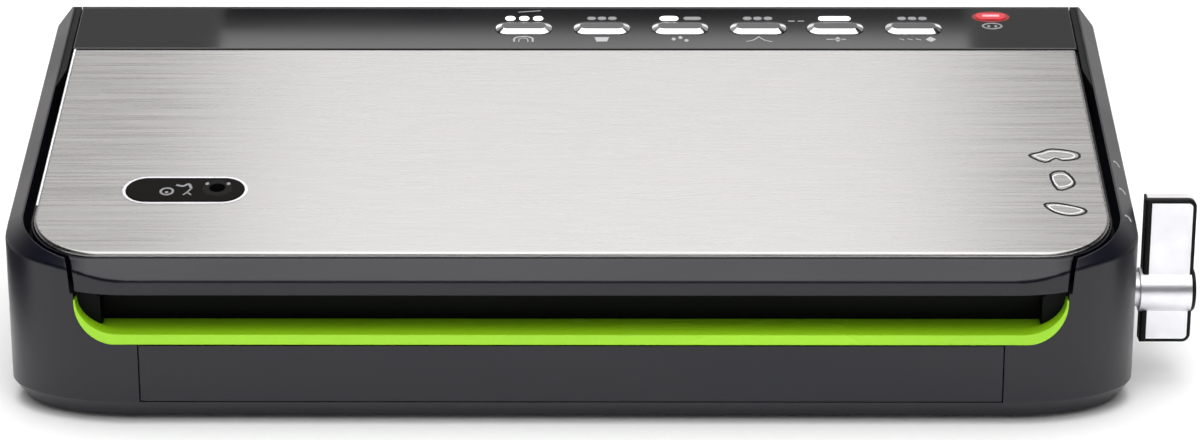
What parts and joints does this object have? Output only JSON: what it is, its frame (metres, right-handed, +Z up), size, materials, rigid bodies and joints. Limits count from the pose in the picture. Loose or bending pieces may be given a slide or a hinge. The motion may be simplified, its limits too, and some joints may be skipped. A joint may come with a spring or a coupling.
{
  "type": "vacuum sealer",
  "caption": "Low, wide countertop vacuum sealer with a sloped brushed lid, a green-lined bag slot along the front, a button panel at the rear and a latch lever on the right side.",
  "frame": {"origin": "on the surface the feet stand on, under the middle of the whole footprint with the lever counted in", "axes": "+X to the user's right along the width, +Y to the rear, +Z up"},
  "size_m": [0.445, 0.187, 0.1076],
  "materials": {
    "charcoal_plastic": "satin",
    "lid_plastic": "satin",
    "green_plastic": "gloss",
    "tray_plastic": "satin",
    "brushed_plate": "brushed along the width",
    "panel_gloss": "gloss",
    "silver_button": "bright",
    "silver_lever": "bright satin",
    "machined_steel": "machined",
    "zinc_screw": "zinc plated",
    "black_rubber": "matte",
    "foam_gasket": "closed-cell foam",
    "silicone_strip": "matte",
    "heater_alloy": "satin",
    "ptfe_tape": "woven glass tape",
    "seal_bar_plastic": "matte",
    "channel_plastic": "satin",
    "liner_plastic": "satin",
    "pcb_green": "solder mask",
    "component_black": "matte",
    "light_lit": "lit window",
    "light_dim": "unlit window",
    "indicator_red": "lit lens",
    "port_plastic": "semi gloss",
    "motor_steel": "zinc plated",
    "pump_plastic": "matte",
    "hose_silicone": "matte",
    "laminated_core": "laminated",
    "coil_tape": "wound and taped"
  },
  "bodies": {
    "base": {"upper_housing": "charcoal_plastic", "sealing_deck": "charcoal_plastic", "base_plate": "charcoal_plastic", "rubber_feet": "black_rubber", "base_screws": "zinc_screw", "slot_guide": "green_plastic", "seal_bar": "seal_bar_plastic", "heater_strip": "heater_alloy", "heater_tape": "ptfe_tape", "lower_gasket": "foam_gasket", "vacuum_channel": "channel_plastic", "pump_bracket": "motor_steel", "pump_motor": "motor_steel", "pump_head": "pump_plastic", "vacuum_hose": "hose_silicone", "transformer_core": "laminated_core", "transformer_coil": "coil_tape", "power_board": "pcb_green", "board_components": "component_black", "lock_sensor": "component_black", "cord_gland": "black_rubber", "hinge_pins": "machined_steel", "latch_bushes": "machined_steel"},
    "lid": {"lid_frame": "lid_plastic", "steel_top_plate": "brushed_plate", "control_strip": "panel_gloss", "mode_lights_lit": "light_lit", "mode_lights_dim": "light_dim", "seal_indicator": "indicator_red", "control_board": "pcb_green", "tact_switches": "component_black", "port_insert": "port_plastic", "port_grommet": "black_rubber", "lid_liner": "liner_plastic", "lid_screws": "zinc_screw", "upper_gasket": "foam_gasket", "pressure_strip": "silicone_strip", "latch_keepers": "machined_steel"},
    "latch": {"lever": "silver_lever", "lever_trim": "component_black", "latch_shaft": "machined_steel", "latch_hooks": "machined_steel", "lever_washer": "silver_lever", "lever_screw": "zinc_screw"},
    "tray": {"drip_tray": "tray_plastic"},
    "pump_rotor": {"pump_eccentric": "machined_steel"},
    "pump_rod": {"pump_piston": "pump_plastic"},
    "button_1": {"button_1": "silver_button"},
    "button_2": {"button_2": "silver_button"},
    "button_3": {"button_3": "silver_button"},
    "button_4": {"button_4": "silver_button"},
    "button_5": {"button_5": "silver_button"},
    "button_6": {"button_6": "silver_button"}
  },
  "joints": [
    {"name": "lid_hinge", "type": "hinge", "parent": "base", "child": "lid", "pos_m": [-0.0125, 0.088, 0.094], "axis": [-1, 0, 0], "range_deg": [0, 60]},
    {"name": "latch_turn", "type": "hinge", "parent": "base", "child": "latch", "pos_m": [-0.0125, -0.043, 0.035], "axis": [1, 0, 0], "range_deg": [-40, 40]},
    {"name": "tray_slide", "type": "slide", "parent": "base", "child": "tray", "axis": [0, -1, 0], "range_m": [0, 0.07]},
    {"name": "pump_spin", "type": "hinge", "parent": "base", "child": "pump_rotor", "pos_m": [-0.0015, 0.044, 0.032], "axis": [1, 0, 0], "continuous": true},
    {"name": "piston_stroke", "type": "slide", "parent": "base", "child": "pump_rod", "axis": [0, -1, 0], "range_m": [0, 0.0036]},
    {"name": "button_1_press", "type": "slide", "parent": "lid", "child": "button_1", "axis": [0, 0.2351, -0.972], "range_m": [0, 0.0012], "stiffness_N_per_m": 500},
    {"name": "button_2_press", "type": "slide", "parent": "lid", "child": "button_2", "axis": [0, 0.2351, -0.972], "range_m": [0, 0.0012], "stiffness_N_per_m": 500},
    {"name": "button_3_press", "type": "slide", "parent": "lid", "child": "button_3", "axis": [0, 0.2351, -0.972], "range_m": [0, 0.0012], "stiffness_N_per_m": 500},
    {"name": "button_4_press", "type": "slide", "parent": "lid", "child": "button_4", "axis": [0, 0.2351, -0.972], "range_m": [0, 0.0012], "stiffness_N_per_m": 500},
    {"name": "button_5_press", "type": "slide", "parent": "lid", "child": "button_5", "axis": [0, 0.2351, -0.972], "range_m": [0, 0.0012], "stiffness_N_per_m": 500},
    {"name": "button_6_press", "type": "slide", "parent": "lid", "child": "button_6", "axis": [0, 0.2351, -0.972], "range_m": [0, 0.0012], "stiffness_N_per_m": 500}
  ]
}
